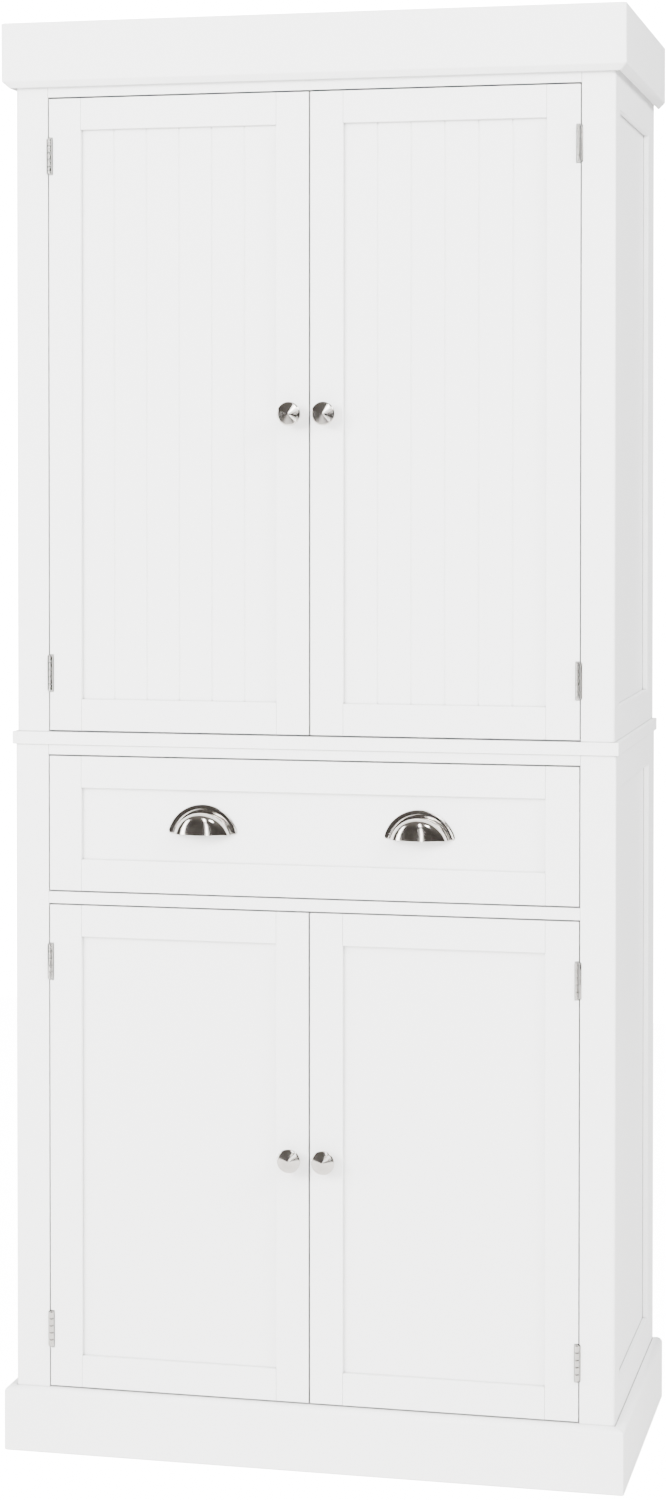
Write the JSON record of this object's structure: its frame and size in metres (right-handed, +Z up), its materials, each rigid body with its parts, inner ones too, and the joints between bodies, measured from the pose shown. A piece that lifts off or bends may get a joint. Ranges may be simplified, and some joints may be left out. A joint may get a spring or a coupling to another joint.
{
  "type": "pantry cabinet",
  "caption": "Tall free-standing pantry cabinet: framed inset doors with beadboard above and plain panels below, a cup-pull drawer between, box cornice and plinth.",
  "frame": {"origin": "on the floor under the middle of the cabinet, counted from the knob tips to the back edge", "axes": "+Z up, the doors and drawer face -Y, +X to the viewer's right when facing the front"},
  "size_m": [0.8, 0.422, 1.83],
  "materials": {
    "painted_mdf": "satin off-white paint on MDF",
    "hardboard": "bare hardboard",
    "bare_wood": "clear-lacquered softwood and plywood",
    "satin_nickel": "satin nickel plate",
    "nickel_steel": "nickel-plated steel",
    "zinc_steel": "bright zinc plate",
    "white_plastic": "moulded white plastic"
  },
  "bodies": {
    "cabinet": {"upper_left_side_frame": "painted_mdf", "upper_left_side_panel": "painted_mdf", "upper_right_side_frame": "painted_mdf", "upper_right_side_panel": "painted_mdf", "lower_left_side_frame": "painted_mdf", "lower_left_side_panel": "painted_mdf", "lower_right_side_frame": "painted_mdf", "lower_right_side_panel": "painted_mdf", "cornice_front": "painted_mdf", "cornice_sides": "painted_mdf", "top_panel": "painted_mdf", "upper_top_rail": "painted_mdf", "waist_board": "painted_mdf", "lower_top_rail": "painted_mdf", "divider_board": "painted_mdf", "lower_bottom_board": "painted_mdf", "plinth_front": "painted_mdf", "plinth_sides": "painted_mdf", "upper_back_panel": "hardboard", "lower_back_panel": "hardboard", "wall_fixing_rail": "bare_wood", "high_shelf": "painted_mdf", "middle_shelf": "painted_mdf", "lower_shelf": "painted_mdf", "shelf_pins": "nickel_steel", "hinge_frame_leaves": "nickel_steel", "hinge_pins": "nickel_steel", "slide_spacers": "bare_wood", "slide_cabinet_members": "zinc_steel", "magnetic_catches": "white_plastic"},
    "upper_left_door": {"upper_left_door_frame": "painted_mdf", "upper_left_door_panel": "painted_mdf", "upper_left_knob": "satin_nickel", "upper_left_hinge_leaves": "nickel_steel", "upper_left_strike_plate": "zinc_steel"},
    "upper_right_door": {"upper_right_door_frame": "painted_mdf", "upper_right_door_panel": "painted_mdf", "upper_right_knob": "satin_nickel", "upper_right_hinge_leaves": "nickel_steel", "upper_right_strike_plate": "zinc_steel"},
    "lower_left_door": {"lower_left_door_frame": "painted_mdf", "lower_left_door_panel": "painted_mdf", "lower_left_knob": "satin_nickel", "lower_left_hinge_leaves": "nickel_steel", "lower_left_strike_plate": "zinc_steel"},
    "lower_right_door": {"lower_right_door_frame": "painted_mdf", "lower_right_door_panel": "painted_mdf", "lower_right_knob": "satin_nickel", "lower_right_hinge_leaves": "nickel_steel", "lower_right_strike_plate": "zinc_steel"},
    "drawer": {"drawer_front_frame": "painted_mdf", "drawer_front_panel": "painted_mdf", "drawer_sides": "bare_wood", "drawer_box_front": "bare_wood", "drawer_back": "bare_wood", "drawer_bottom": "bare_wood", "cup_pulls": "satin_nickel", "pull_screws": "zinc_steel", "slide_drawer_members": "zinc_steel"},
    "slide_middle": {"slide_middle_members": "zinc_steel"}
  },
  "joints": [
    {"name": "upper_left_door_hinge", "type": "hinge", "parent": "cabinet", "child": "upper_left_door", "pos_m": [-0.3399, -0.185, 1.331], "axis": [0, 0, -1], "range_deg": [0, 165]},
    {"name": "upper_right_door_hinge", "type": "hinge", "parent": "cabinet", "child": "upper_right_door", "pos_m": [0.3399, -0.185, 1.331], "axis": [0, 0, 1], "range_deg": [0, 165]},
    {"name": "lower_left_door_hinge", "type": "hinge", "parent": "cabinet", "child": "lower_left_door", "pos_m": [-0.3399, -0.187, 0.394], "axis": [0, 0, -1], "range_deg": [0, 165]},
    {"name": "lower_right_door_hinge", "type": "hinge", "parent": "cabinet", "child": "lower_right_door", "pos_m": [0.3399, -0.187, 0.394], "axis": [0, 0, 1], "range_deg": [0, 165]},
    {"name": "drawer_slide", "type": "slide", "parent": "cabinet", "child": "drawer", "axis": [0, -1, 0], "range_m": [0, 0.33]},
    {"name": "middle_slide", "type": "slide", "parent": "cabinet", "child": "slide_middle", "axis": [0, -1, 0], "range_m": [0, 0.165]}
  ],
  "couplings": [
    {"joint": "middle_slide", "follows": "drawer_slide", "ratio": 0.5}
  ]
}
